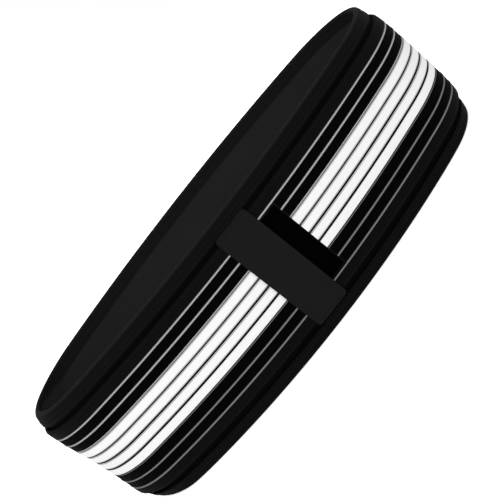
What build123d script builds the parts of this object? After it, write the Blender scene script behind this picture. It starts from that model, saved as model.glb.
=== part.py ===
"""A wide elastic support belt, closed into a ring that stands on its lower rim.

The belt is a padded strip (lining, foam, cover) with taped rims. A ribbed elastic webbing with woven
stripes runs round its outside. Its two ends meet at the front, edge to edge. The right-hand end is a flap
with a slot and a keeper bar, and the left-hand end carries a tongue that lies inside the ring and grips
the inside of the flap with hook and loop.

Millimetres, +Z up, the front towards -Y. The origin is under the middle of the ring, at its lower rim.
An offset is a distance outwards from the cover's outer face. A station is a distance to the right along
the front of that face, from the front's middle.
"""

from build123d import *
from math import atan2, cos, degrees, sin
import os

# Ring
belt_width = 100.0
half_length = 170.0
half_depth = 78.0
end_radius = 58.5

# Padded strip, from the skin outwards
lining_thickness = 0.5
foam_thickness = 1.6
cover_thickness = 0.5

# Rim binding
binding_leg = 9.0
binding_thickness = 0.6
rim_fillet = 1.2

# Elastic webbing and its woven stripes
webbing_margin = 12.0  # in from each rim
webbing_thickness = 2.2
webbing_edge_fillet = 1.2
rib_height = 0.3
white_rib_width = 6.6
white_rib_pitch = 7.5
white_rib_count = 4
fine_line_width = 1.1
fine_line_places = (29.6, 22.4)  # above the belt's middle, and again below it

# Stitching
thread_width = 0.5
thread_height = 0.15
binding_rows = (1.6, 4.4)  # in from the binding's inner edge
webbing_row = 1.6  # in from the webbing's edge

# Closure, at the front
bar_left = -8.0
bar_width = 26.0
bar_thickness = 0.8
bar_overhang = 2.2  # how far the bar covers the other end of the belt
bar_edge_fillet = 0.4
bar_tab_length = 2.2
bar_box_length = 13.0
bar_box_inset = 3.5
slot_width = 12.7
slot_height = 56.5
slot_drop = 0.5  # its middle is this far below the belt's middle
slot_facing_thickness = 0.5
flap_length = 70.0

# Tongue, loop patch and hook patch
tongue_width = 66.0
tongue_thickness = 1.2
tongue_reach = 110.0
tongue_corner = 9.0
anchor_length = 26.0
loop_thickness = bar_thickness
loop_width = 52.0
loop_past_tongue = 8.0
loop_slot_margin = 1.5
hook_thickness = 0.7
hook_width = 44.0
hook_length = 68.0
hook_tip_margin = 6.0
end_tape_thickness = 0.5

# Clearances
hinge_gap = 0.4
butt_gap = 0.6
slip_gap = 0.3
bar_fit = 0.3

# Worked out from the sizes above
end_centre = half_length - end_radius
front_radius = (end_centre**2 + half_depth**2 - end_radius**2) / (2 * (half_depth - end_radius))
front_centre = front_radius - half_depth
turn = degrees(atan2(end_centre, front_centre))
middle = belt_width / 2

foam_outer = -cover_thickness
lining_outer = foam_outer - foam_thickness
skin = lining_outer - lining_thickness
webbing_top = webbing_thickness
rib_top = webbing_top + rib_height
webbing_low = webbing_margin
webbing_high = belt_width - webbing_margin

bar_right = bar_left + bar_width
bar_wall = bar_left + bar_overhang
flap_end = bar_wall + bar_thickness
bar_under = rib_top + bar_fit
bar_top = bar_under + bar_thickness
bar_inside = skin - bar_thickness
bar_low = binding_leg + bar_fit
bar_high = belt_width - bar_low
slot_right = bar_right + slot_width
slot_low = middle - slot_drop - slot_height / 2
slot_high = slot_low + slot_height
slot_cut_left = bar_right - bar_thickness
flap_root = bar_left + flap_length
ring_root = flap_root + hinge_gap
ring_tail = bar_wall - butt_gap
tail_layers = ring_tail - end_tape_thickness

hook_outer = bar_inside - slip_gap
tongue_outer = hook_outer - hook_thickness
tongue_inner = tongue_outer - tongue_thickness
tongue_start = ring_tail
anchor_end = tongue_start - hinge_gap
hook_end = tongue_reach - hook_tip_margin
loop_end = tongue_reach + loop_past_tongue

# The bar makes the front deeper than the back, so the plan is moved back to stay over the origin.
plan = Plane((0, (bar_top + thread_height - rib_top) / 2, 0))

os.makedirs("parts", exist_ok=True)


def turned(station):
    """The angle, in degrees, that a station is round the front's centre."""
    return degrees(station / front_radius)


def front_point(station, offset):
    """Where a station and an offset are on the front, seen from above."""
    angle = station / front_radius
    reach = front_radius + offset
    return (reach * sin(angle), front_centre - reach * cos(angle))


def front_strip(inner, outer, low, high, start, finish):
    """A strip of the front wall, between two offsets, two heights and two stations."""
    with BuildPart() as strip:
        with BuildSketch(plan.offset(low)):
            with BuildLine():
                for offset in (inner, outer):
                    CenterArc(
                        (0, front_centre), front_radius + offset, 270 + turned(start), turned(finish - start)
                    )
                for station in (start, finish):
                    Line(front_point(station, inner), front_point(station, outer))
            make_face()
        extrude(amount=high - low)
    return strip.part


def ring_strip(inner, outer, low, high, tail=ring_tail, root=ring_root):
    """A strip of the whole wall, from the tail at the front, round the back, to the flap's root."""
    with BuildPart() as strip:
        with BuildSketch(plan.offset(low)):
            with BuildLine():
                for offset in (inner, outer):
                    big, small = front_radius + offset, end_radius + offset
                    CenterArc((0, front_centre), big, 270 - turn, turn + turned(tail))
                    CenterArc((-end_centre, 0), small, 90 + turn, 180 - 2 * turn)
                    CenterArc((0, -front_centre), big, 90 - turn, 2 * turn)
                    CenterArc((end_centre, 0), small, turn - 90, 180 - 2 * turn)
                    CenterArc((0, front_centre), big, 270 + turned(root), turn - turned(root))
                for station in (tail, root):
                    Line(front_point(station, inner), front_point(station, outer))
            make_face()
        extrude(amount=high - low)
    return strip.part


def layer_strip(side, inner, outer, low, high):
    """A layer of the padded strip, on the ring or on the flap, where the flap has its slot."""
    if side == "ring":
        return ring_strip(inner, outer, low, high, tail=tail_layers)
    return front_strip(inner, outer, low, high, flap_end, flap_root)


def slot_cutter(margin):
    """The slot's opening, grown by a margin above, below and to the right, through every layer."""
    return front_strip(
        bar_inside - 1, bar_top + 1, slot_low - margin, slot_high + margin, slot_cut_left, slot_right + margin
    )


def rim_strip(side, inner, outer, low, high):
    """A strip along a rim, which reaches the very end of the ring or of the flap."""
    if side == "ring":
        return ring_strip(inner, outer, low, high)
    return front_strip(inner, outer, low, high, bar_wall, flap_root)


def save(piece, name):
    """Labels a finished piece and writes it."""
    piece.part.label = name
    export_step(piece.part, f"parts/{name}.step")


def make_layers(side):
    """Lining, foam and cover: flat strips that fill the binding's channel."""
    low, high = binding_thickness, belt_width - binding_thickness
    layers = {
        "lining": (skin, lining_outer),
        "foam_core": (lining_outer, foam_outer),
        "cover": (foam_outer, 0),
    }
    for name, (inner, outer) in layers.items():
        with BuildPart() as layer:
            add(layer_strip(side, inner, outer, low, high))
            if side == "flap":
                add(slot_cutter(slot_facing_thickness), mode=Mode.SUBTRACT)
        save(layer, f"{side}_{name}")


def make_bindings(side):
    """A tape folded over each rim, with a leg down both faces and a rounded fold."""
    outside, inside = binding_thickness, skin - binding_thickness
    for name, edge, fold in (("bottom", 0, binding_thickness), ("top", belt_width, -binding_thickness)):
        leg_end = binding_leg if edge == 0 else belt_width - binding_leg
        low, high = sorted((edge, leg_end))
        core_low, core_high = sorted((edge + fold, leg_end))
        with BuildPart() as binding:
            add(rim_strip(side, inside, outside, low, high))
            add(rim_strip(side, skin, 0, core_low, core_high), mode=Mode.SUBTRACT)
            fold_edges = binding.edges().group_by(Axis.Z)[0 if edge == 0 else -1]
            fillet(fold_edges.filter_by(lambda e: e.length > binding_leg), rim_fillet)
        save(binding, f"{side}_{name}_binding")

        with BuildPart() as stitching:
            for row in binding_rows:
                height = leg_end - row if edge == 0 else leg_end + row
                rows = (height - thread_width / 2, height + thread_width / 2)
                add(rim_strip(side, outside, outside + thread_height, *rows))
                add(rim_strip(side, inside - thread_height, inside, *rows))
        save(stitching, f"{side}_{name}_stitching")


def make_webbing(side):
    """The elastic webbing, with its stripes as low ribs and the two rows that sew it down."""
    with BuildPart() as webbing:
        add(layer_strip(side, 0, webbing_top, webbing_low, webbing_high))
        outer_edges = webbing.edges().filter_by(
            lambda e: e.length > bar_width and e.center().Z in (webbing_low, webbing_high)
        )
        long_edges = outer_edges.filter_by(
            lambda e: abs(e.radius - round_radius(e, webbing_top)) < webbing_top / 2
        )
        fillet(long_edges, webbing_edge_fillet)
        if side == "flap":
            add(slot_cutter(slot_facing_thickness), mode=Mode.SUBTRACT)
    save(webbing, f"{side}_webbing")

    ribs = {}
    for n in range(white_rib_count):
        place = ((white_rib_count - 1) / 2 - n) * white_rib_pitch
        ribs[f"white_rib_{n + 1}"] = (place, white_rib_width)
    places = [*fine_line_places, *[-place for place in reversed(fine_line_places)]]
    for n, place in enumerate(places):
        ribs[f"fine_line_{n + 1}"] = (place, fine_line_width)
    for name, (place, width) in ribs.items():
        height = middle + place
        with BuildPart() as rib:
            add(layer_strip(side, webbing_top, rib_top, height - width / 2, height + width / 2))
            if side == "flap":
                add(slot_cutter(slot_facing_thickness), mode=Mode.SUBTRACT)
        save(rib, f"{side}_{name}")

    with BuildPart() as stitching:
        for height in (webbing_low + webbing_row, webbing_high - webbing_row):
            rows = (height - thread_width / 2, height + thread_width / 2)
            add(layer_strip(side, webbing_top, webbing_top + thread_height, *rows))
    save(stitching, f"{side}_webbing_stitching")


def round_radius(edge, offset):
    """The radius that this arc of the wall has at an offset."""
    return (front_radius if edge.radius > (front_radius + end_radius) / 2 else end_radius) + offset


for side in ("ring", "flap"):
    make_layers(side)
    make_bindings(side)
    make_webbing(side)

# The keeper bar: a sleeve of tape round the end of the flap, between the slot and the free edge.
with BuildPart() as keeper_bar:
    add(front_strip(bar_under, bar_top, bar_low, bar_high, bar_left, bar_right))
    for low, high in ((bar_low, bar_low + bar_tab_length), (bar_high - bar_tab_length, bar_high)):
        add(front_strip(0, bar_top, low, high, flap_end, bar_right))
    add(front_strip(bar_inside, bar_top, bar_low, bar_high, bar_wall, flap_end))
    add(front_strip(bar_inside, skin, slot_low, slot_high, bar_wall, bar_right))
    add(front_strip(bar_inside, bar_top, slot_low, slot_high, slot_cut_left, bar_right))
    long_edges = keeper_bar.edges().filter_by(Axis.Z).sort_by(Axis.Y)[:2]
    fillet(long_edges, bar_edge_fillet)
save(keeper_bar, "keeper_bar")

# A box of stitches at each end of the bar.
with BuildPart() as bar_stitching:
    left, right = bar_left + bar_box_inset, bar_right - bar_box_inset
    for low in (bar_low + bar_tab_length, bar_high - bar_tab_length - bar_box_length):
        high = low + bar_box_length
        add(front_strip(bar_top, bar_top + thread_height, low, high, left, right))
        inner_box = (low + thread_width, high - thread_width, left + thread_width, right - thread_width)
        add(front_strip(bar_top, bar_top + thread_height, *inner_box), mode=Mode.SUBTRACT)
save(bar_stitching, "keeper_bar_stitching")

# The tape that finishes the slot's cut edges.
with BuildPart() as slot_facing:
    add(
        front_strip(
            skin,
            webbing_top,
            slot_low - slot_facing_thickness,
            slot_high + slot_facing_thickness,
            slot_cut_left,
            slot_right + slot_facing_thickness,
        )
    )
    add(slot_cutter(0), mode=Mode.SUBTRACT)
save(slot_facing, "slot_facing")

# The tape over the cut end of the ring's tail.
with BuildPart() as tail_end_tape:
    add(front_strip(skin, rib_top, bar_low, bar_high, tail_layers, ring_tail))
save(tail_end_tape, "tail_end_tape")

# Loop fabric on the inside of the flap, and on past the flap's root.
loop_low, loop_high = middle - loop_width / 2, middle + loop_width / 2
with BuildPart() as flap_loop_patch:
    loop_start = slot_right + slot_facing_thickness + loop_slot_margin
    add(front_strip(bar_inside, skin, loop_low, loop_high, loop_start, flap_root))
save(flap_loop_patch, "flap_loop_patch")
with BuildPart() as ring_loop_patch:
    add(front_strip(bar_inside, skin, loop_low, loop_high, ring_root, loop_end))
save(ring_loop_patch, "ring_loop_patch")

# The tongue: its folded root is sewn to the ring's tail, and the rest is free.
tongue_low, tongue_high = middle - tongue_width / 2, middle + tongue_width / 2
with BuildPart() as tongue_anchor:
    add(front_strip(tongue_inner, skin, tongue_low, tongue_high, anchor_end - anchor_length, anchor_end))
save(tongue_anchor, "tongue_anchor")

with BuildPart() as tongue_strap:
    add(front_strip(tongue_inner, tongue_outer, tongue_low, tongue_high, tongue_start, tongue_reach))
    through_edges = tongue_strap.edges().filter_by(lambda e: e.length < 1.01 * tongue_thickness)
    fillet(through_edges.sort_by(Axis.X)[-2:], tongue_corner)
save(tongue_strap, "tongue_strap")

with BuildPart() as tongue_hook_patch:
    hook_low, hook_high = middle - hook_width / 2, middle + hook_width / 2
    hook_start = hook_end - hook_length
    add(front_strip(tongue_outer, hook_outer, hook_low, hook_high, hook_start, hook_end))
save(tongue_hook_patch, "tongue_hook_patch")
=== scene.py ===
# %% [markdown]
# # A support belt, closed into a ring
# The real object is a wide elastic belt for the hips: a padded strip with taped rims, a striped elastic
# webbing sewn round its outside, and a slotted flap with a keeper bar at the front.
# The CAD model says where everything is and what moves. Here each soft solid gets a piece with the
# shape, thickness and finish of the real cloth, in the same frame and in metres.

# %% Load the frame
import math
import bmesh
import bpy
from mathutils import Matrix, Vector, noise
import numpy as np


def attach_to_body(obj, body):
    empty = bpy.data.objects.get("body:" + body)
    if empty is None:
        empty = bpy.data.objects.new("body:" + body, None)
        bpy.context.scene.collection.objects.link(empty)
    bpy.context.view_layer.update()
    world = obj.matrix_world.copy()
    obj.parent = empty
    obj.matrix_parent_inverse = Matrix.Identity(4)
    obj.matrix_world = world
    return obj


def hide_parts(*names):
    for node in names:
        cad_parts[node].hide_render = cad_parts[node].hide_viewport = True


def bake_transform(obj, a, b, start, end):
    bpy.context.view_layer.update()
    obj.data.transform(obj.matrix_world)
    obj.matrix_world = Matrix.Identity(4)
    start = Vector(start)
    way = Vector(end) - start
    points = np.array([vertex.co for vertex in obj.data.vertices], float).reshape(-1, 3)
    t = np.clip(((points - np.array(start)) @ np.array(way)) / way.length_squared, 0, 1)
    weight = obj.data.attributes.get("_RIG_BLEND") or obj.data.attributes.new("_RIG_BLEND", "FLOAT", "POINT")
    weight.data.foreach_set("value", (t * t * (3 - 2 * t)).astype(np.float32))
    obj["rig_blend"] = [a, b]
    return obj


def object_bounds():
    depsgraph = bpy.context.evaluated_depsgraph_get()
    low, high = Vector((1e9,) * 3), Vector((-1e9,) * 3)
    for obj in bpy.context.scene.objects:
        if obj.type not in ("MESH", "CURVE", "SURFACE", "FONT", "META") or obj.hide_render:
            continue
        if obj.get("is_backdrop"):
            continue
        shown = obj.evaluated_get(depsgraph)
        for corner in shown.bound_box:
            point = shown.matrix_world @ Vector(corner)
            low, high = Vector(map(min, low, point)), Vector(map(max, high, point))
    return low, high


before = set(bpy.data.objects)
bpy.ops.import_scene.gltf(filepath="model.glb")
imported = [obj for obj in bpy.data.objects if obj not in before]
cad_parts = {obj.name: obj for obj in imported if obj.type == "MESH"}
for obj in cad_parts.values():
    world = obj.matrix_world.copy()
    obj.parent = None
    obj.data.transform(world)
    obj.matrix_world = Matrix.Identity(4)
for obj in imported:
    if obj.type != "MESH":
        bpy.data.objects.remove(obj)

cad_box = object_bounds()

# %% [markdown]
# ## Sizes
# Sizes are in millimetres, as a belt maker would give them, and become metres where a point is made.
# An offset is a distance out from the cover's outer face. A station is a distance along the front of
# that face, to the right of the front's middle.

# %% Sizes that the pieces share
mm = 0.001
belt_width = 100.0
middle = belt_width / 2
half_length, half_depth, end_radius = 170.0, 78.0, 58.5
plan_y = 0.625
lining_face, foam_back, foam_face, cover_face = -2.6, -2.1, -0.5, -0.1
strip_low, strip_high = 0.8, 99.2
webbing_low, webbing_high, webbing_top = 12.0, 88.0, 2.2
bar_left, bar_right, bar_top, bar_under = -8.0, 18.0, 3.6, 2.8
bar_wall, flap_end = -5.8, -5.0
slot_right, slot_low, slot_high = 30.7, 21.25, 77.75
slot_lines = [slot_low - 0.5, slot_high + 0.5]
slot_cut, slot_far = bar_right - 0.8, slot_right + 0.5
tail, tail_layers = -6.4, -6.9
left_tape_end, closure = -5.804, -5.802
hinge, fold_run = 62.2, 14.0
long_step, tight_step, fold_step = 3.4, 2.0, 1.1

end_centre = half_length - end_radius
front_radius = (end_centre**2 + half_depth**2 - end_radius**2) / (2 * (half_depth - end_radius))
front_centre = front_radius - half_depth
turn = math.degrees(math.atan2(end_centre, front_centre))
quarter = front_radius * math.radians(turn)
end_run = end_radius * math.radians(180 - 2 * turn)
girth = 4 * quarter + 2 * end_run
print(f"front radius {front_radius:.1f} mm, girth of the cover {girth:.1f} mm")

# %% [markdown]
# ## The way round the belt
# Seen from above the ring is four arcs that meet smoothly: two wide ones, front and back, and two tight
# ones at the ends. A strip could be bent along a curve with a modifier, but a spin round each arc's own
# centre keeps every layer an exact distance from the next, as layers of cloth on one another are.
# The ring is made as two runs. One goes left from the closure, round the left end and along the back.
# The other starts at the flap's free end, so that it can bend where the flap folds, and goes round the
# right end. They meet at the right of the back.

# %% Points and arcs
def front_place(station, offset, height):
    """The point in metres at a station, an offset and a height on the front."""
    angle = station / front_radius
    reach = front_radius + offset
    return Vector((reach * math.sin(angle), plan_y + front_centre - reach * math.cos(angle), height)) * mm


fold_start, fold_end = front_place(hinge, 0, middle), front_place(hinge - fold_run, 0, middle)
front_pivot = Vector((0, plan_y + front_centre, 0)) * mm
back_pivot = Vector((0, plan_y - front_centre, 0)) * mm
left_pivot = Vector((-end_centre, plan_y, 0)) * mm
right_pivot = Vector((end_centre, plan_y, 0)) * mm


def swing(bm, geom, pivot, angle, run, step, copies=False):
    """Spins geometry through an angle in radians, in steps of about the given length of cloth."""
    steps = max(1, round(run / step))
    spun = bmesh.ops.spin(
        bm, geom=geom, cent=pivot, axis=(0, 0, 1), angle=angle, steps=steps, use_duplicate=copies
    )
    return spun["geom_last"]


def go_left(bm, geom, start, step=long_step, copies=False):
    """From a station left of the closure, round the left end and along the back."""
    run = quarter + start
    geom = swing(bm, geom, front_pivot, -run / front_radius, run, step, copies)
    end_step = step if copies else tight_step
    geom = swing(bm, geom, left_pivot, -math.radians(180 - 2 * turn), end_run, end_step, copies)
    return swing(bm, geom, back_pivot, -2 * quarter / front_radius, 2 * quarter, step, copies)


def go_right(bm, geom, start, step=long_step, copies=False):
    """From a station on the flap, past its slot and its fold, and round the right end."""
    fold_left, fold_right = 44, 64
    marks = [] if copies else [slot_cut, slot_far, fold_left, fold_right]
    stops = [start, *[mark for mark in marks if mark > start], quarter]
    for here, there in zip(stops, stops[1:]):
        fine = fold_step if marks and there == fold_right else step
        geom = swing(bm, geom, front_pivot, (there - here) / front_radius, there - here, fine, copies)
    end_step = step if copies else tight_step
    return swing(bm, geom, right_pivot, math.radians(180 - 2 * turn), end_run, end_step, copies)


print(f"quarter run {quarter:.1f} mm, end run {end_run:.1f} mm")

# %% [markdown]
# ## Cut ends, caps and cloth coordinates
# Every long strip starts as its own cut end: a closed chain of edges, with the corners of the cloth
# rounded by a bevel. The chain is spun into the strip and the two ends are filled.
# A weave has to follow the cloth round the bends, so each strip gets a UV map in metres: along the belt
# in U, and across the cloth, measured round the cut end, in V.

# %% Helpers for strips
def cut_end(bm, profile, station):
    """A closed chain through (offset, height, rounding) points, starting at a hidden, sharp one."""
    across = bm.verts.layers.float.new("across")
    verts = [bm.verts.new(front_place(station, offset, height)) for offset, height, _ in profile]
    for pair in zip(verts, verts[1:] + verts[:1]):
        bm.edges.new(pair)
    start = verts[0]
    for vert, (_, _, rounding) in zip(verts, profile):
        if rounding:
            bmesh.ops.bevel(
                bm, geom=[vert], offset=rounding * mm,
                affect="VERTICES", segments=3, profile=0.5, material=-1,
            )
    vert, edge, walked = start, start.link_edges[0], 0.0
    for _ in range(len(bm.verts)):
        vert[across] = walked
        walked += edge.calc_length()
        vert = edge.other_vert(vert)
        edge = next(e for e in vert.link_edges if e is not edge)
    return bm.verts[:] + bm.edges[:]


def cap_ends(bm):
    """Fills the open ends of a strip."""
    bmesh.ops.holes_fill(bm, edges=[e for e in bm.edges if e.is_boundary], sides=0)


def girth_at(co):
    """How far round the belt a point is, from the front's middle to the right, in metres."""
    x, y = co.x / mm, co.y / mm - plan_y
    wedge = math.radians(90 - turn)
    past = abs(x) - end_centre
    if past > 0 and abs(math.atan2(y, past)) <= wedge:
        swept = end_radius * (wedge + math.atan2(y, past))
        run = quarter + swept if x > 0 else girth - quarter - swept
    elif y < 0:
        run = front_radius * math.atan2(x, front_centre - y)
        run = run if run > closure else girth + run
    else:
        run = quarter + end_run + quarter - front_radius * math.atan2(x, front_centre + y)
    return run * mm


def station_at(co):
    """How far right of the front's middle a point on the front is, in metres."""
    return front_radius * math.atan2(co.x / mm, front_centre + plan_y - co.y / mm) * mm


def lay_cloth(bm, along=girth_at):
    """Gives a strip its cloth coordinates."""
    cloth = bm.loops.layers.uv.new("cloth")
    across = bm.verts.layers.float["across"]
    whole = max(v[across] for v in bm.verts) * 1.05
    runs = {v: along(v.co) for v in bm.verts}
    for face in bm.faces:
        top = max(v[across] for v in face.verts)
        for loop in face.loops:
            here = loop.vert[across]
            if top - here > whole / 2:
                here += whole
            loop[cloth].uv = (runs[loop.vert], here)


def smooth(value, start, end):
    """Goes smoothly from 0 at the start to 1 at the end."""
    share = min(max((value - start) / (end - start), 0), 1)
    return share * share * (3 - 2 * share)


def settle(bm):
    """Lets the tight ends settle: the elastic pushes out a little between the rims, which curl in."""
    for vert in bm.verts:
        height = vert.co.z / mm
        side = 1 if vert.co.x > 0 else -1
        reach = 30 if side > 0 else 14
        to_rim = max(0.0, reach - min(height, belt_width - height)) / reach
        push = 2.2 if side > 0 else -0.4 + 1.9 * smooth(height, 48, 75)
        curl = 6.6 if side < 0 and height < middle else 4.4
        move = (push - curl * to_rim * to_rim) * smooth(abs(vert.co.x) / mm, 118, 172)
        vert.co.x += side * move * mm


def finished(bm, name, materials, sharp=38):
    """Turns a closed mesh into an object: normals out, smooth, with its sharp edges kept."""
    bmesh.ops.recalc_face_normals(bm, faces=bm.faces[:])
    for face in bm.faces:
        face.smooth = True
    for edge in bm.edges:
        edge.smooth = len(edge.link_faces) == 2 and edge.calc_face_angle(0) < math.radians(sharp)
    mesh = bpy.data.meshes.new(name)
    bm.to_mesh(mesh)
    bm.free()
    piece = bpy.data.objects.new(name, mesh)
    bpy.context.scene.collection.objects.link(piece)
    for material in materials:
        mesh.materials.append(material)
    print(f"{name}: {sum(len(p.vertices) - 2 for p in mesh.polygons)} triangles")
    return piece


def paint(bm, index, low, high):
    """Gives the faces whose middle is between two heights another of the piece's materials."""
    for face in bm.faces:
        if low < face.calc_center_median().z / mm < high:
            face.material_index = index


# %% [markdown]
# ## Camera, light and floor
# The belt is looked at from the front, a little above, from 0.6 m, and the camera is rolled by 52
# degrees, so the belt stands on its rim in the world but runs corner to corner in the picture.
# A plain pale floor and a pale world leave no horizon. One wide soft light stands in front and one
# hangs above, because black cloth needs broad light to show its texture.

# %% Camera
target = Vector((0, 0, middle)) * mm
azimuth, elevation, away, roll = math.radians(-0.17), math.radians(14.83), 0.597, math.radians(-51.92)
back = Vector(
    (math.sin(azimuth) * math.cos(elevation), -math.cos(azimuth) * math.cos(elevation), math.sin(elevation))
)
camera_data = bpy.data.cameras.new("camera")
camera_data.lens, camera_data.sensor_width = 64.04, 36.0
camera_data.shift_x, camera_data.shift_y = 0.0001, 0.0079
camera_data.clip_start, camera_data.clip_end = 0.01, 60.0
camera = bpy.data.objects.new("camera", camera_data)
bpy.context.scene.collection.objects.link(camera)
level = (-back).to_track_quat("-Z", "Y").to_matrix().to_4x4()
camera.matrix_world = Matrix.Translation(target + back * away) @ level @ Matrix.Rotation(roll, 4, "Z")
bpy.context.scene.camera = camera
print("camera at", tuple(round(c, 3) for c in camera.location))

# %% Floor, world and lights
def soft_light(name, place, aim, size, power):
    """A square area light that points at a place."""
    data = bpy.data.lights.new(name, "AREA")
    data.shape, data.size, data.energy = "SQUARE", size, power
    light = bpy.data.objects.new(name, data)
    light.location = place
    light.rotation_mode = "QUATERNION"
    light.rotation_quaternion = (Vector(aim) - Vector(place)).to_track_quat("-Z", "Y")
    bpy.context.scene.collection.objects.link(light)


floor_bm = bmesh.new()
bmesh.ops.create_grid(floor_bm, x_segments=1, y_segments=1, size=12.0)
floor_mesh = bpy.data.meshes.new("floor")
floor_bm.to_mesh(floor_mesh)
floor_bm.free()
floor = bpy.data.objects.new("floor", floor_mesh)
floor.location.z = -0.0002
bpy.context.scene.collection.objects.link(floor)
pale = bpy.data.materials.new("pale floor")
pale.use_nodes = True
floor_shader = pale.node_tree.nodes["Principled BSDF"]
floor_shader.inputs["Base Color"].default_value = (0.86, 0.86, 0.86, 1)
floor_shader.inputs["Roughness"].default_value = 0.9
floor_shader.inputs["Specular IOR Level"].default_value = 0.0
floor_shader.inputs["Emission Color"].default_value = (1, 1, 1, 1)
floor_shader.inputs["Emission Strength"].default_value = 0.55
floor_mesh.materials.append(pale)
floor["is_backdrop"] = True

world = bpy.data.worlds.new("studio")
world.use_nodes = True
world.node_tree.nodes["Background"].inputs["Color"].default_value = (1, 1, 1, 1)
world.node_tree.nodes["Background"].inputs["Strength"].default_value = 1.0
bpy.context.scene.world = world
soft_light("front softbox", (-0.5, -1.5, 0.9), (0, 0, 0.05), 1.2, 14)
soft_light("top softbox", (0.1, 0.2, 1.6), (0, 0, 0), 1.4, 12)
bpy.context.scene.view_settings.view_transform = "Standard"

# %% [markdown]
# ## Yarn, weave and knit
# Everything here is cloth, so the finishes share a few effects: a weave of cords along the belt crossed
# by picks, a knit of V-shaped stitches, a looped pile, and the slight unevenness of dyed yarn.
# Each effect is one node group, built once. A group gives heights and shades that vary over the
# surface; each material keeps its own shader, with its plain values on the shader itself.

# %% Helpers for nodes
def new_group(name, inputs, outputs):
    """A shader node group with number inputs and outputs, and its two end nodes."""
    tree = bpy.data.node_groups.new(name, "ShaderNodeTree")
    for label, value in inputs:
        kind = "NodeSocketVector" if value is None else "NodeSocketFloat"
        socket = tree.interface.new_socket(name=label, in_out="INPUT", socket_type=kind)
        if value is not None:
            socket.default_value = value
    for label in outputs:
        tree.interface.new_socket(name=label, in_out="OUTPUT", socket_type="NodeSocketFloat")
    return tree, tree.nodes.new("NodeGroupInput"), tree.nodes.new("NodeGroupOutput")


def worked(tree, operation, *values):
    """A math node; each value is a number or the socket that feeds it."""
    step = tree.nodes.new("ShaderNodeMath")
    step.operation = operation
    for socket, value in zip(step.inputs, values):
        if isinstance(value, (int, float)):
            socket.default_value = value
        else:
            tree.links.new(value, socket)
    return step.outputs[0]


# %% Weave: rounded cords along the belt, crossed by picks
weave, given, result = new_group(
    "woven cords", [("Cloth", None), ("Cord", 0.0012), ("Pick", 0.0009)], ["Height", "Shade"]
)
parts = weave.nodes.new("ShaderNodeSeparateXYZ")
weave.links.new(given.outputs["Cloth"], parts.inputs[0])
cord_at = worked(weave, "DIVIDE", parts.outputs["Y"], given.outputs["Cord"])
pick_at = worked(weave, "DIVIDE", parts.outputs["X"], given.outputs["Pick"])
cord = worked(weave, "ABSOLUTE", worked(weave, "SINE", worked(weave, "MULTIPLY", cord_at, math.pi)))
turn_over = worked(weave, "MULTIPLY", worked(weave, "FLOOR", cord_at), math.pi / 2)
pick = worked(
    weave, "ABSOLUTE", worked(weave, "SINE", worked(weave, "MULTIPLY_ADD", pick_at, math.pi, turn_over))
)
height = worked(
    weave, "MULTIPLY", worked(weave, "POWER", cord, 0.5), worked(weave, "MULTIPLY_ADD", pick, 0.5, 0.5)
)
weave.links.new(height, result.inputs["Height"])
weave.links.new(worked(weave, "MULTIPLY_ADD", height, 0.45, 0.62), result.inputs["Shade"])

# %% Knit: columns of V-shaped stitches
knit, given, result = new_group(
    "fine knit", [("Cloth", None), ("Wale", 0.0011), ("Course", 0.0013)], ["Height", "Shade"]
)
parts = knit.nodes.new("ShaderNodeSeparateXYZ")
knit.links.new(given.outputs["Cloth"], parts.inputs[0])
wale_at = worked(knit, "DIVIDE", parts.outputs["Y"], given.outputs["Wale"])
course_at = worked(knit, "DIVIDE", parts.outputs["X"], given.outputs["Course"])
lean = worked(knit, "ABSOLUTE", worked(knit, "SUBTRACT", worked(knit, "FRACT", wale_at), 0.5))
wale = worked(knit, "ABSOLUTE", worked(knit, "SINE", worked(knit, "MULTIPLY", wale_at, math.pi)))
stitch_at = worked(knit, "MULTIPLY_ADD", lean, 0.9, course_at)
loop = worked(knit, "ABSOLUTE", worked(knit, "SINE", worked(knit, "MULTIPLY", stitch_at, math.pi)))
rounded = worked(knit, "POWER", wale, 0.6)
height = worked(knit, "MULTIPLY", rounded, worked(knit, "MULTIPLY_ADD", loop, 0.55, 0.45))
knit.links.new(height, result.inputs["Height"])
knit.links.new(worked(knit, "MULTIPLY_ADD", height, 0.3, 0.78), result.inputs["Shade"])

# %% Yarn: dye that takes unevenly, and lint
yarn, given, result = new_group("uneven yarn", [("Place", None), ("Depth", 0.15)], ["Shade", "Roughness"])
patches = yarn.nodes.new("ShaderNodeTexNoise")
patches.inputs["Scale"].default_value, patches.inputs["Detail"].default_value = 38.0, 3.0
fibres = yarn.nodes.new("ShaderNodeTexNoise")
fibres.inputs["Scale"].default_value, fibres.inputs["Detail"].default_value = 1400.0, 2.0
for speckle in (patches, fibres):
    yarn.links.new(given.outputs["Place"], speckle.inputs["Vector"])
patchy = worked(yarn, "MULTIPLY", patches.outputs[0], 0.4)
mixed = worked(yarn, "MULTIPLY_ADD", fibres.outputs[0], 0.6, patchy)
sway = worked(yarn, "MULTIPLY", worked(yarn, "SUBTRACT", mixed, 0.5), given.outputs["Depth"])
yarn.links.new(worked(yarn, "MULTIPLY_ADD", sway, 4.0, 1.0), result.inputs["Shade"])
yarn.links.new(worked(yarn, "MULTIPLY_ADD", patches.outputs[0], 0.16, 0.78), result.inputs["Roughness"])

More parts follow.
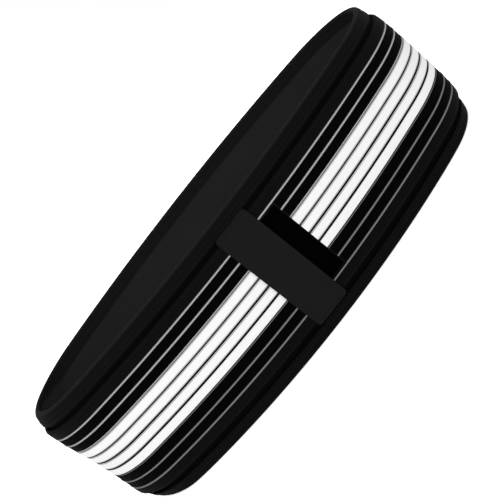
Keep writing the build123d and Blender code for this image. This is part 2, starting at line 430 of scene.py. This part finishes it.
# %% Pile: tiny loops brushed every way
pile, given, result = new_group("looped pile", [("Place", None), ("Loop", 1300.0)], ["Height", "Shade"])
loops = pile.nodes.new("ShaderNodeTexVoronoi")
loops.inputs["Randomness"].default_value = 1.0
brushed = pile.nodes.new("ShaderNodeTexNoise")
brushed.inputs["Scale"].default_value, brushed.inputs["Detail"].default_value = 420.0, 4.0
pile.links.new(given.outputs["Place"], loops.inputs["Vector"])
pile.links.new(given.outputs["Loop"], loops.inputs["Scale"])
pile.links.new(given.outputs["Place"], brushed.inputs["Vector"])
hollows = worked(pile, "MULTIPLY", loops.outputs[0], -0.8)
height = worked(pile, "MULTIPLY_ADD", brushed.outputs[0], 0.9, hollows)
pile.links.new(height, result.inputs["Height"])
pile.links.new(worked(pile, "MULTIPLY_ADD", height, 0.8, 0.7), result.inputs["Shade"])
print("shared effects:", weave.name, knit.name, yarn.name, pile.name)

# %% [markdown]
# ## The finishes
# The blacks differ by about one percent of grey: the lining is the lightest, then the inner leg of the
# rim tape, which is the same tape as the outer leg painted lighter as painted light, the bar's tape,
# the rims' outer leg and the plain edges of the elastic, and the elastic between the stripes is nearly
# pure black. They have almost no gloss, so the broad lights don't turn them grey.

# %% One maker for all the cloths
def cloth(name, colour, effect, settings, bump, gloss=0.03, depth=0.15, contrast=1.0):
    """A material: a grey, one of the shared effects with its sizes, and how deep its bump is in mm."""
    made = bpy.data.materials.new(name)
    made.use_nodes = True
    tree = made.node_tree
    shader = tree.nodes["Principled BSDF"]
    shader.inputs["Specular IOR Level"].default_value = gloss
    place = tree.nodes.new("ShaderNodeTexCoord").outputs["Object"]
    cloth_map = tree.nodes.new("ShaderNodeUVMap")
    cloth_map.uv_map = "cloth"
    surface = tree.nodes.new("ShaderNodeGroup")
    surface.node_tree = effect
    first = surface.inputs[0]
    tree.links.new(place if first.name == "Place" else cloth_map.outputs[0], first)
    for label, value in settings.items():
        surface.inputs[label].default_value = value
    uneven = tree.nodes.new("ShaderNodeGroup")
    uneven.node_tree = yarn
    uneven.inputs["Depth"].default_value = depth
    tree.links.new(place, uneven.inputs["Place"])
    shade = worked(tree, "MULTIPLY", surface.outputs["Shade"], uneven.outputs["Shade"])
    tint = tree.nodes.new("ShaderNodeMix")
    tint.data_type, tint.blend_type = "RGBA", "MULTIPLY"
    tint.inputs["Factor"].default_value = contrast
    tint.inputs["A"].default_value = (*colour, 1)
    tree.links.new(shade, tint.inputs["B"])
    tree.links.new(tint.outputs["Result"], shader.inputs["Base Color"])
    tree.links.new(uneven.outputs["Roughness"], shader.inputs["Roughness"])
    bumps = tree.nodes.new("ShaderNodeBump")
    bumps.inputs["Strength"].default_value = 1.0
    bumps.inputs["Distance"].default_value = bump * mm
    tree.links.new(surface.outputs["Height"], bumps.inputs["Height"])
    tree.links.new(bumps.outputs["Normal"], shader.inputs["Normal"])
    return made


# %% The cloths of this belt
fine_knit, cover_stitch = {"Wale": 0.0010, "Course": 0.0012}, {"Wale": 0.0008, "Course": 0.0010}
tape_weave, white_weave = {"Cord": 0.0007, "Pick": 0.0006}, {"Cord": 0.0011, "Pick": 0.0008}
warp_weave, bar_weave = {"Cord": 0.0012, "Pick": 0.0008}, {"Cord": 0.0008, "Pick": 0.0007}
elastic_weave, edge_weave = {"Cord": 0.0013, "Pick": 0.0010}, {"Cord": 0.0009, "Pick": 0.0007}
tongue_weave = {"Cord": 0.0016, "Pick": 0.0011}
lining_knit = cloth("charcoal lining knit", (0.0128, 0.0128, 0.0131), knit, fine_knit, 0.10)
foam_black = cloth("black foam", (0.010, 0.010, 0.010), pile, {"Loop": 900.0}, 0.15)
cover_knit = cloth("black cover knit", (0.0012, 0.0012, 0.0012), knit, cover_stitch, 0.08, gloss=0.014)
rim_tape = cloth("black rim tape", (0.0025, 0.0025, 0.0026), weave, tape_weave, 0.10)
# The same black rim tape painted lighter: painted light on the tapes' inner leg and a painted highlight
# along the top of the upper tape's fold.
tape_painted_lighter = cloth("black rim tape, painted lighter", (0.0068, 0.0068, 0.0070), weave, tape_weave, 0.10)
elastic = cloth("black ribbed elastic", (0.0008, 0.0008, 0.00085), weave, elastic_weave, 0.22, gloss=0.012)
shoulder = cloth("plain elastic edge", (0.0020, 0.0020, 0.0021), weave, edge_weave, 0.07)
white_warp = cloth(
    "white warp", (0.56, 0.56, 0.56), weave, white_weave, 0.05, gloss=0.1, depth=0.02, contrast=0.35
)
# A grey painted where the white bars turn down into their grooves, and on the line above the white group:
# painted shade.
groove_shade_grey = cloth("grey beside white, painted groove shade", (0.30, 0.30, 0.30), weave, white_weave, 0.04)
light_warp = cloth("light grey warp", (0.24, 0.24, 0.24), weave, warp_weave, 0.08, depth=0.04)
# The light grey warp again, painted darker for the two lower cords and the lower line beside the white
# group: painted shade.
shaded_grey_warp = cloth("grey warp, painted shade", (0.115, 0.115, 0.115), weave, warp_weave, 0.08, depth=0.04)
bar_tape = cloth("black bar tape", (0.0054, 0.0054, 0.0055), weave, bar_weave, 0.09, gloss=0.05)
bar_hem = cloth("pressed hem of the bar", (0.0050, 0.0050, 0.0052), weave, bar_weave, 0.09, gloss=0.06)
black_thread = cloth("black thread", (0.0060, 0.0060, 0.0062), pile, {"Loop": 2600.0}, 0.05, gloss=0.08)
loop_pile = cloth("black loop pile", (0.005, 0.005, 0.005), pile, {"Loop": 1500.0}, 0.45)
hook_black = cloth("black hook tape", (0.003, 0.003, 0.003), pile, {"Loop": 2200.0}, 0.05, gloss=0.15)
# Black webbing made darker still and almost glossless: partly its own black, partly painted shade for what
# shows through the slot.
tongue_web = cloth(
    "black tongue webbing, darkened as painted shade", (0.0007, 0.0007, 0.00075), weave, tongue_weave, 0.20, gloss=0.004
)
print(len(bpy.data.materials), "materials")

# %% [markdown]
# ## Padding, lining and cover
# Under the tapes and the elastic the belt is a sandwich: a sheet of foam between an inner lining and an
# outer cover. Only the lining's middle and two thin strips of the cover show. Each layer is its own
# closed strip. The lining is drawn as cloth over foam: it puffs up a little between the rims and sinks
# into a groove where the tape's edge holds it down.

# %% A strip made in two runs
def two_runs(
    name, profile, materials, left_start, right_start, dress=None, holes=False, step=long_step
):
    """Makes the same strip on the left run, which rides on the ring, and on the right run, which bends."""
    pieces = []
    for side, go, start in (("left", go_left, left_start), ("right", go_right, right_start)):
        bm = bmesh.new()
        go(bm, cut_end(bm, profile, start), start, step)
        cap_ends(bm)
        if holes and side == "right":
            open_slot(bm)
        lay_cloth(bm)
        if dress:
            dress(bm)
        settle(bm)
        piece = finished(bm, f"{name}_{side}", materials)
        pieces.append(piece)
    return pieces


def open_slot(bm):
    """Cuts the flap's slot through a strip and joins its two faces round the hole."""
    low, high = slot_lines
    gone = [
        face
        for face in bm.faces
        if slot_cut * mm < station_at(face.calc_center_median()) < slot_far * mm
        and face.calc_center_median().y < 0
        and low < face.calc_center_median().z / mm < high
    ]
    bmesh.ops.delete(bm, geom=gone, context="FACES")
    bmesh.ops.bridge_loops(bm, edges=[e for e in bm.edges if e.is_boundary])


def attach(pair, *nodes):
    """The left piece rides on the ring, the right one bends at the fold; both replace any nodes named."""
    left, right = pair
    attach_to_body(left, "ring")
    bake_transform(right, "ring", "flap", start=fold_start, end=fold_end)
    if nodes:
        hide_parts(*[f"ring_{node}" for node in nodes])
        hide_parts(*[f"flap_{node}" for node in nodes])


# %% Foam, lining and cover
strip_heights = [strip_low, *slot_lines, strip_high]


def flat_layer(under, top):
    """The cut end of a flat layer, between two offsets."""
    return [(under, h, 0) for h in strip_heights] + [(top, h, 0) for h in reversed(strip_heights)]


foam = two_runs(
    "foam_core", flat_layer(foam_back, foam_face), [foam_black], tail_layers, flap_end, holes=True
)
attach(foam, "foam_core")
lining_inner = [(-2.45, 8.6, 0), (-2.3, 9.8, 0.3), (-2.72, 11.2, 0.6), (-2.85, 15.0, 1.5)]
lining = two_runs(
    "lining",
    [(foam_back, strip_low, 0), (-2.45, strip_low, 0), *lining_inner]
    + [(-2.88, slot_line, 0) for slot_line in slot_lines]
    + [(offset, belt_width - height, rounding) for offset, height, rounding in reversed(lining_inner)]
    + [(-2.45, strip_high, 0), (foam_back, strip_high, 0)]
    + [(foam_back, slot_line, 0) for slot_line in reversed(slot_lines)],
    [lining_knit], tail_layers, flap_end, holes=True,
)
attach(lining, "lining")
cover = two_runs(
    "cover", flat_layer(foam_face, cover_face), [cover_knit], tail_layers, flap_end,
    holes=True,
)
attach(cover, "cover")

# %% [markdown]
# ## The striped elastic
# The elastic is woven in bands: plain soft edges, ribbed black, two fine grey cords above and two
# below, and four white bars in the middle, with a thin black line between each two. The bands stand up
# from one another, so the ground gets its own swell between the cords, and every cord and bar is a
# raised strip with rounded sides rather than a stripe in a texture.

# %% The ground of the elastic
fine_lines = [79.8, 72.4, 27.6, 20.2]
bars = [(58.0, 64.65), (50.6, 57.2), (43.05, 49.45), (36.0, 41.85)]
swells = [(80.3, 86.6, 0.34), (73.1, 78.9, 0.12), (65.3, 71.7, 0.12)]
swells += [(28.3, 34.8, 0.12), (21.1, 26.9, 0.12), (13.4, 19.7, 0.34)]
bar_bed = 1.3


def swell(low, high, rise):
    """Points that swell out from the elastic's face between two heights, from the top down."""
    points = []
    for share in [n / 6 for n in range(7)]:
        raise_by = rise * math.sin(math.pi * share) ** 0.7
        points.append((webbing_top - 0.12 + raise_by, high - share * (high - low), 0))
    return points


ground = [(0.0, middle, 0), (0.0, slot_lines[1], 0), (0.0, webbing_high - 0.2, 0)]
ground += [(0.9, webbing_high + 0.25, 0.5), (1.7, webbing_high - 0.25, 0.45)]
ground += swell(*swells[0])
ground += [(webbing_top - 0.2, slot_lines[1], 0)]
ground += swell(*swells[1]) + swell(*swells[2])
ground += [(bar_bed, bars[0][1] - 0.3, 0), (bar_bed, bars[-1][0] + 0.3, 0)]
ground += swell(*swells[3]) + swell(*swells[4])
ground += [(webbing_top - 0.2, slot_lines[0], 0)]
ground += swell(*swells[5])
ground += [(1.7, webbing_low + 0.25, 0.45), (0.9, webbing_low - 0.25, 0.5)]
ground += [(0.0, webbing_low + 0.2, 0), (0.0, slot_lines[0], 0)]


def dress_ground(bm):
    """The soft edges of the elastic are plain, and lighter than its ribbed middle."""
    paint(bm, 1, 80.2, 90.0)
    paint(bm, 1, 10.0, 19.75)


webbing = two_runs(
    "elastic_webbing", ground, [elastic, shoulder], tail_layers, flap_end, dress_ground,
    holes=True,
)
attach(webbing, "webbing")

# %% White bars and fine grey cords
def raised(low, high, top, base=1.9, crown=0.12, side=0.22):
    """The cut end of a raised strip, with rounded sides and a slightly crowned top."""
    width = high - low
    points = [(base, (low + high) / 2, 0), (base, low, 0)]
    points += [(top - side, low, 0), (top - side / 4, low + side * 0.7, 0)]
    for share in (0.12, 0.3, 0.5, 0.7, 0.88):
        points.append((top + crown * math.sin(math.pi * share), low + share * width, 0))
    return points + [(top - side / 4, high - side * 0.7, 0), (top - side, high, 0), (base, high, 0)]


def dress_bar(bm):
    """A white bar is painted grey where it turns down into a groove, as painted shade, in a narrower band on
    the lowest bar; its sides are black yarn.
    """
    low, high = min(v.co.z for v in bm.verts) / mm, max(v.co.z for v in bm.verts) / mm
    # Painted shade in grey along each edge, then the black yarn at the very sides.
    for index, share in ((2, 0.36 if low < 40 else 0.65), (1, 0.06)):
        paint(bm, index, 0, low + share)
        paint(bm, index, high - share, belt_width)


slot_stop = slot_right + 0.2
for number, (low, high) in enumerate(bars, 1):
    bar = two_runs(
        f"white_bar_{number}", raised(low, high, 2.45, base=bar_bed - 0.1, side=0.34),
        [white_warp, elastic, groove_shade_grey], tail_layers, slot_stop, dress_bar,
    )
    attach(bar, f"white_rib_{number}")
for number, height in enumerate(fine_lines, 1):
    start = flap_end if number in (1, 4) else slot_stop
    # The two lower cords take the grey warp painted darker, as painted shade.
    warp = light_warp if number < 3 else shaded_grey_warp
    line = two_runs(
        f"fine_line_{number}", raised(height - 0.6, height + 0.6, 2.38, crown=0.1, side=0.3),
        [warp], tail_layers, start,
    )
    attach(line, f"fine_line_{number}")

# %% Fine lines beside the white group
# The upper line is painted the grey of the groove shade, and the lower one the grey warp painted darker:
# both are painted shade.
for number, (low, high, warp) in enumerate(((65.05, 65.75, groove_shade_grey), (34.9, 35.35, shaded_grey_warp)), 1):
    edge_line = two_runs(
        f"edge_line_{number}", raised(low, high, 2.3, crown=0.06, side=0.15), [warp],
        tail_layers, slot_stop,
    )
    attach(edge_line)

# %% [markdown]
# ## Rim tapes
# A tape is folded over each rim and sewn through with two rows. The real tape is soft, so it rises
# between the rows and is pinched at them. That shape is drawn once as a cut end, with its rounded fold,
# and spun round the belt. The upper tape is the same cut end turned over.

# %% The folded tape
fold = [(-1.3, 0.75, 0), (0.0, 0.75, 0), (0.0, 8.9, 0), (0.5, 9.05, 0.15), (0.72, 8.4, 0.3)]
fold += [(0.48, 7.4, 0.35), (0.98, 6.0, 0.7), (0.48, 4.6, 0.35), (1.05, 2.9, 0.8), (0.75, 1.0, 0.5)]
fold += [(-0.1, 0.12, 0.5), (-0.7, 0.0, 0), (-2.0, 0.0, 0), (-2.6, 0.12, 0.4), (-3.35, 1.0, 0.5)]
fold += [(-3.62, 2.9, 0.8), (-3.08, 4.6, 0.35), (-3.56, 6.0, 0.7), (-3.08, 7.4, 0.35)]
fold += [(-3.32, 8.4, 0.3), (-3.1, 9.05, 0.15), (-2.6, 8.9, 0), (-2.6, 0.75, 0)]
tapes = []


lit_leg_span, highlight_height, shaded_edge_span = (21.0, 31.5), 98.9, (7.2, 9.3)


def dress_tape(bm):
    """Puckers the tape at its stitches. Its inner leg is painted lighter as painted light, the top of the
    upper tape's fold is painted lighter as a painted highlight, and the lower tape's edge toward the elastic
    is painted dark as painted shade.
    """
    across = bm.verts.layers.float["across"]
    bm.normal_update()
    for vert in bm.verts:
        run = girth_at(vert.co) / mm
        edge = min(vert.co.z / mm, belt_width - vert.co.z / mm)
        pucker = noise.noise(Vector((run / 2.9, vert[across] / mm / 3, 0)))
        pucker += noise.noise(Vector((run / 11, 5, 0)))
        vert.co += vert.normal * 0.13 * pucker * smooth(edge, 0.3, 1.5) * (1 - smooth(edge, 8.0, 8.8)) * mm
    for face in bm.faces:
        along = sum(v[across] for v in face.verts) / len(face.verts)
        height = face.calc_center_median().z / mm
        # Painted light: the inner leg, and the top of the upper tape's fold as a painted highlight, are
        # painted lighter.
        if lit_leg_span[0] < along / mm < lit_leg_span[1] or height > highlight_height:
            face.material_index = 1
        # Painted shade: the lower tape's edge toward the elastic is painted with the elastic's black.
        elif shaded_edge_span[0] < height < shaded_edge_span[1]:
            face.material_index = 2


for name, profile in (("bottom", fold), ("top", [(o, belt_width - h, r) for o, h, r in fold])):
    tape = two_runs(
        f"{name}_binding", profile, [rim_tape, tape_painted_lighter, elastic],
        left_tape_end, bar_wall, dress_tape, step=1.7,
    )
    attach(tape, f"{name}_binding")
    tapes.append(tape)

# %% [markdown]
# ## Stitches
# A stitch is a short grain of thread, sunk a little at both ends. One is made at the start of a row and
# the row is a spin with duplicates, so the stitches keep their pitch round the tight ends too.

# %% One stitch, and rows of them
def stitch(bm, station, offset, height, lean=0.0, long=2.3, thick=0.34, wide=0.48):
    """Adds one stitch, leaning up from the belt's length by an angle, and gives its geometry back."""
    tangent = Matrix.Rotation(station / front_radius, 4, "Z")
    lie = Matrix.Rotation(math.pi / 2 - lean, 4, "Y")
    size = Matrix.Diagonal((wide * mm, thick * mm, long * mm, 1))
    matrix = Matrix.Translation(front_place(station, offset, height)) @ tangent @ lie @ size
    made = bmesh.ops.create_uvsphere(bm, u_segments=6, v_segments=4, radius=0.5, matrix=matrix)
    verts = made["verts"]
    edges = list({e for v in verts for e in v.link_edges})
    return verts + edges + list({f for v in verts for f in v.link_faces})


def stitch_rows(name, rows, nodes):
    """Rows of stitches round both runs; each row is (offset, height)."""
    pair = []
    for side, go, start in (("left", go_left, tail_layers - 1.8), ("right", go_right, flap_end + 1.8)):
        bm = bmesh.new()
        for offset, height in rows:
            go(bm, stitch(bm, start, offset, height), start, step=2.9, copies=True)
        settle(bm)
        piece = finished(bm, f"{name}_{side}", [black_thread], sharp=180)
        pair.append(piece)
    attach(pair, nodes)


for name, heights in (("bottom", (7.4, 4.6)), ("top", (92.6, 95.4))):
    rows = [(offset, height) for height in heights for offset in (0.54, -3.14)]
    stitch_rows(f"{name}_stitching", rows, f"{name}_stitching")
stitch_rows("webbing_stitching", [(2.22, 13.6), (2.22, 86.4)], "webbing_stitching")

# %% [markdown]
# ## Flat pieces
# The bar, the slot's edging, the patches and the tongue are short pieces on the front. Each is cut out
# flat, with stations, offsets and heights as its three axes. It gets its thickness by an extrusion and
# its soft edges by a bevel, it is ruled into small steps, and only then is it laid on the front's curve.

# %% Helpers for flat pieces
def cut_out(corners, push, soften=0.2):
    """A solid from its outline, (station, offset, height, rounding) corners, and the way it is thick."""
    bm = bmesh.new()
    verts = [bm.verts.new(corner[:3]) for corner in corners]
    bm.faces.new(verts)
    for vert, corner in zip(verts, corners):
        if corner[3]:
            bmesh.ops.bevel(
                bm, geom=[vert], offset=corner[3], affect="VERTICES", segments=6, profile=0.5, material=-1
            )
    grown = bmesh.ops.extrude_face_region(bm, geom=bm.faces[:])["geom"]
    bmesh.ops.translate(bm, verts=[v for v in grown if isinstance(v, bmesh.types.BMVert)], vec=push)
    bmesh.ops.recalc_face_normals(bm, faces=bm.faces[:])
    if soften:
        edges = [e for e in bm.edges if e.calc_face_angle(0) > 1]
        bmesh.ops.bevel(bm, geom=edges, offset=soften, affect="EDGES", segments=2, profile=0.5, material=-1)
    return bm


def slab(stations, offsets, heights, soften=0.2):
    """A flat piece with square corners."""
    (left, right), (under, top), (low, high) = stations, offsets, heights
    corners = [(left, low), (right, low), (right, high), (left, high)]
    outline = [(station, under, height, 0) for station, height in corners]
    return cut_out(outline, (0, top - under, 0), soften)


def rule(bm, across, up=None):
    """Cuts a flat piece into steps along its stations, and along its heights."""
    for axis, step in ((0, across), (2, up)):
        if step:
            low, high = min(v.co[axis] for v in bm.verts), max(v.co[axis] for v in bm.verts)
            normal = Vector((axis == 0, 0, axis == 2))
            count = math.ceil((high - low) / step)
            for n in range(1, count):
                bmesh.ops.bisect_plane(
                    bm, geom=bm.verts[:] + bm.edges[:] + bm.faces[:], dist=1e-5,
                    plane_co=normal * (low + n * (high - low) / count), plane_no=normal,
                )


def drop(height):
    """How far the bar sinks at a height, over the elastic's shoulders and down towards the rims."""
    return 2.05 * min(max((abs(height - middle) - 34.5) / 6.2, 0), 1) ** 2


def tuck(bm):
    """Lowers what lies on the elastic as the bar sinks."""
    for vert in bm.verts:
        vert.co.y -= drop(vert.co.z) * min(max(vert.co.y / bar_under, 0), 1.25)


def lay_on_front(bm, name, materials):
    """Gives a flat piece its cloth coordinates, lays it on the front's curve and finishes it."""
    cloth_map = bm.loops.layers.uv.new("cloth")
    for face in bm.faces:
        for loop in face.loops:
            station, offset, height = loop.vert.co
            loop[cloth_map].uv = ((station + offset) * mm, height * mm)
    for vert in bm.verts:
        vert.co = front_place(*vert.co)
    piece = finished(bm, name, materials)
    return piece


# %% [markdown]
# ## The keeper bar
# A tape is folded round the flap between the slot and the free edge, and a box of stitches holds it at
# each rim. It is the first thing that the eye meets, so its face is ruled finely enough to hold the
# folded edge that stands up along the slot, the line pinched in by the boxes, and the ends that sink
# into the grooves beside the rims.

# %% The bar's face
bar_low, bar_high = 9.3, 90.7
face_corners = [(bar_left, 8.7), (bar_right, 8.7), (bar_right, 91.3), (bar_left, 91.3)]
boxes = [(-4.5, 14.5, 11.5, 24.5), (-4.5, 14.5, 75.5, 88.5)]
box_corner = 3.0


def from_box(station, height, box):
    """How far a point is from the line of a box with rounded corners."""
    left, right, low, high = box
    out_x = abs(station - (left + right) / 2) - (right - left) / 2 + box_corner
    out_z = abs(height - (low + high) / 2) - (high - low) / 2 + box_corner
    beyond = math.hypot(max(out_x, 0), max(out_z, 0))
    return abs(beyond + min(max(out_x, out_z), 0) - box_corner)


face_outline = [(station, bar_under, height, 2.2) for station, height in face_corners]
bar_face = cut_out(face_outline, (0, bar_top - bar_under, 0), soften=0.3)
rule(bar_face, 0.8, 0.8)
for vert in bar_face.verts:
    station, offset, height = vert.co
    if offset > (bar_under + bar_top) / 2:
        hem = 0.17 * smooth(station, 16.0, 16.5) + 0.08 * smooth(-station, 6.3, 6.9)
        crown = 0.16 * math.sin(math.pi * (station - bar_left) / (bar_right - bar_left))
        pinch = sum(0.26 * math.exp(-((from_box(station, height, box) / 0.75) ** 2)) for box in boxes)
        vert.co.y += hem + crown - pinch
tuck(bar_face)
for panel in bar_face.faces:
    place = panel.calc_center_median()
    if place.x > 16.3 and place.y > 1:
        panel.material_index = 1
keeper_bar = lay_on_front(bar_face, "keeper_bar_face", [bar_tape, bar_hem])
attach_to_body(keeper_bar, "flap")
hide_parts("keeper_bar")

# %% The bar's way through the slot, along the inside and up the flap's end
inside = lining_face - 0.8
sleeve_low, sleeve_high = 21.4, 77.6
sleeve_path = [(bar_right, 3.2, 0), (bar_right, inside, 0.7), (bar_wall, inside, 0.7), (bar_wall, 3.0, 0)]
sleeve_path += [(flap_end, 3.0, 0), (flap_end, lining_face, 0)]
sleeve_path += [(slot_cut, lining_face, 0), (slot_cut, 3.2, 0)]
sleeve = cut_out(
    [(station, offset, sleeve_low, rounding) for station, offset, rounding in sleeve_path],
    (0, 0, sleeve_high - sleeve_low), soften=0.15,
)
rule(sleeve, 4.0, 8.0)
sleeve = lay_on_front(sleeve, "keeper_bar_sleeve", [bar_tape])
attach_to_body(sleeve, "flap")
end_wall = slab((bar_wall, flap_end), (-3.1, 3.1), (bar_low, bar_high), soften=0.2)
rule(end_wall, None, 1.5)
tuck(end_wall)
end_wall = lay_on_front(end_wall, "flap_end_tape", [bar_tape])
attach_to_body(end_wall, "flap")

# %% The boxes of stitches
def box_walk(box, corner, pitch):
    """Even steps round a box with rounded corners: station, height and lean of each stitch."""
    left, right, low, high = box
    centres = [(right - corner, low + corner), (right - corner, high - corner)]
    centres += [(left + corner, high - corner), (left + corner, low + corner)]
    sides = [high - low - 2 * corner, right - left - 2 * corner] * 2
    bend = corner * math.pi / 2
    whole = sum(sides) + 4 * bend
    count = round(whole / pitch)
    for n in range(count):
        walked = n * whole / count
        side = 0
        while walked > sides[side] + bend:
            walked -= sides[side] + bend
            side += 1
        angle = side * math.pi / 2
        (x, z), (next_x, next_z) = centres[side], centres[(side + 1) % 4]
        if walked < sides[side]:
            share = walked / sides[side]
            x, z = x + (next_x - x) * share, z + (next_z - z) * share
        else:
            angle += (walked - sides[side]) / corner
            x, z = next_x, next_z
        yield x + corner * math.cos(angle), z + corner * math.sin(angle), angle + math.pi / 2


thread = bmesh.new()
for box in boxes:
    for station, height, lean in box_walk(box, box_corner, 2.2):
        sunk = bar_top - 0.06 - 1.25 * drop(height)
        stitch(thread, station, sunk, height, lean, long=1.8, thick=0.26, wide=0.4)
thread = finished(thread, "keeper_bar_boxes", [black_thread], sharp=180)
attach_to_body(thread, "flap")
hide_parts("keeper_bar_stitching")

# %% [markdown]
# ## Edging of the slot and of the tail
# The slot is cut through all the layers, so its raw edge is bound with a narrow tape, and the ring's
# tail, which hides under the bar, has a tape over its end.

# %% Slot facing and tail tape
lip = 0.9
slot_outline = [(slot_cut, slot_low - lip, 0), (slot_right + lip, slot_low - lip, 1.2)]
slot_outline += [(slot_right + lip, slot_high + lip, 1.2), (slot_cut, slot_high + lip, 0)]
slot_outline += [(slot_cut, slot_high, 0), (slot_right, slot_high, 0.8), (slot_right, slot_low, 0.8)]
slot_outline += [(slot_cut, slot_low, 0)]
facing_under, facing_top = -3.0, webbing_top + 0.1
facing = cut_out(
    [(station, facing_under, height, rounding) for station, height, rounding in slot_outline],
    (0, facing_top - facing_under, 0), soften=0.22,
)
facing = lay_on_front(facing, "slot_facing_tape", [rim_tape])
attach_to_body(facing, "flap")
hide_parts("slot_facing")
tail_tape = slab((tail_layers, tail), (-2.95, 2.4), (bar_low, bar_high), soften=0.15)
rule(tail_tape, None, 1.5)
tuck(tail_tape)
tail_tape = lay_on_front(tail_tape, "tail_tape", [rim_tape])
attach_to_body(tail_tape, "ring")
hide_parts("tail_end_tape")

# %% [markdown]
# ## Hook and loop
# The flap closes on the tongue by hook and loop. The loop side is a brushed pile on the inside of the
# flap, one cloth that carries on past the fold, so it bends with the flap. The hook side is a stiff tape
# set with rows of small hooks, grown here from the faces of a grid.

# %% Loop patch
loop_patch = slab((32.7, 118.0), (-3.3, -2.7), (24.0, 76.0), soften=0.2)
rule(loop_patch, 1.0, 1.0)
for vert in loop_patch.verts:
    if vert.co.y < -3.0:
        vert.co.y -= 0.22 * noise.noise(vert.co * 0.9) + 0.1 * noise.noise(vert.co * 2.3)
loop_patch = lay_on_front(loop_patch, "loop_patch", [loop_pile])
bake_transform(loop_patch, "ring", "flap", start=fold_start, end=fold_end)
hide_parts("ring_loop_patch", "flap_loop_patch")

# %% Hook patch: a backing, and hooks grown from a grid
backing = slab((36.0, 104.0), (-4.45, -4.12), (28.0, 72.0), soften=0.1)
rule(backing, 3.0)
backing = lay_on_front(backing, "hook_backing", [hook_black])
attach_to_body(backing, "tongue")
hooks = bmesh.new()
bmesh.ops.create_grid(hooks, x_segments=40, y_segments=26, size=0.5)
bmesh.ops.scale(hooks, vec=(67.0, 43.0, 1), verts=hooks.verts[:])
bmesh.ops.rotate(hooks, cent=(0, 0, 0), matrix=Matrix.Rotation(math.pi / 2, 3, "X"), verts=hooks.verts[:])
bmesh.ops.translate(hooks, vec=(70.0, -4.14, middle), verts=hooks.verts[:])
bmesh.ops.inset_individual(hooks, faces=hooks.faces[:], thickness=0.55, use_even_offset=True)
stems = [f for f in hooks.faces if f.calc_area() < 0.6 and f.calc_perimeter() < 2.6]
print(len(stems), "hooks")
for lift, bend in ((0.26, 0.0), (0.14, 0.2)):
    stems = bmesh.ops.extrude_discrete_faces(hooks, faces=stems)["faces"]
    bmesh.ops.translate(hooks, vec=(bend, lift, 0), verts=[v for f in stems for v in f.verts])
hooks = lay_on_front(hooks, "hooks", [hook_black])
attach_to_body(hooks, "tongue")
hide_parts("tongue_hook_patch")

# %% [markdown]
# ## The tongue
# The tongue is one length of heavy webbing. Its root is folded under and sewn to the ring's tail with a
# crossed box, and the rest is free. The strap is one mesh from the fold to the rounded tip, so when the
# tongue is pulled away it bends out of the stitches instead of swinging like a door.

# %% Tongue strap, its folded root and its stitches
tongue_low, tongue_high, strap_in, strap_out = 17.0, 83.0, -5.6, -4.4
strap_root, strap_tip, tip_corner = -31.3, 110.0, 9.0
strap_outline = [(strap_root, tongue_low, 0), (strap_tip, tongue_low, tip_corner)]
strap_outline += [(strap_tip, tongue_high, tip_corner), (strap_root, tongue_high, 0)]
strap = cut_out(
    [(station, strap_in, height, rounding) for station, height, rounding in strap_outline],
    (0, strap_out - strap_in, 0), soften=0.3,
)
rule(strap, 2.0)
strap = lay_on_front(strap, "tongue_webbing", [tongue_web])
bend_start, bend_end = front_place(tail, -5, middle), front_place(tail + fold_run, -5, middle)
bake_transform(strap, "ring", "tongue", start=bend_start, end=bend_end)
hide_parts("tongue_strap")
root_path = [(strap_root, -4.6, 0), (strap_root, strap_in, 0), (strap_root - 1.5, strap_in, 1.2)]
root_path += [(strap_root - 1.5, -2.75, 1.2), (-6.8, -2.75, 0), (-6.8, -4.15, 0), (-30.9, -4.15, 0.3)]
root = cut_out(
    [(station, offset, tongue_low, rounding) for station, offset, rounding in root_path],
    (0, 0, tongue_high - tongue_low), soften=0.12,
)
rule(root, 3.0)
root = lay_on_front(root, "tongue_root", [tongue_web])
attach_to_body(root, "ring")
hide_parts("tongue_anchor")
sewing = bmesh.new()
root_box = (-29.5, -9.0, 22.0, 78.0)
for station, height, lean in box_walk(root_box, 0.5, 3.0):
    stitch(sewing, station, strap_in - 0.03, height, lean)
slant = math.atan2(root_box[3] - root_box[2], root_box[1] - root_box[0])
cross_steps, cross_rise = 19, root_box[3] - root_box[2]
for n in range(1, cross_steps):
    share = n / cross_steps
    station = root_box[0] + share * (root_box[1] - root_box[0])
    stitch(sewing, station, strap_in - 0.03, root_box[2] + share * cross_rise, slant)
    stitch(sewing, station, strap_in - 0.03, root_box[3] - share * cross_rise, -slant)
sewing = finished(sewing, "tongue_root_stitching", [black_thread], sharp=180)
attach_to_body(sewing, "ring")

# %% [markdown]
# ## How large the long cloths were cut
# The long cloths were cut as flat strips and are held stretched round the belt; the rim tapes are
# folded in half along their length.

# %% Flat sizes
left_run, right_run = 3 * quarter + tail_layers + end_run, quarter - flap_end + end_run
strips = [(lining, 98.4, "stretched"), (cover, 98.4, "stretched"), (webbing, 78.0, "stretched")]
strips += [(tape, 21.0, "folded") for tape in tapes]
for pair, width, held in strips:
    for piece, run in zip(pair, (left_run, right_run)):
        print(f"{piece.name}: cut {width:.1f} by {run:.0f} mm")

# %% Print the bounding boxes
visual_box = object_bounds()
for label, box in (("CAD", cad_box), ("visual", visual_box)):
    print(label, "box", [tuple(round(x, 4) for x in corner) for corner in box])
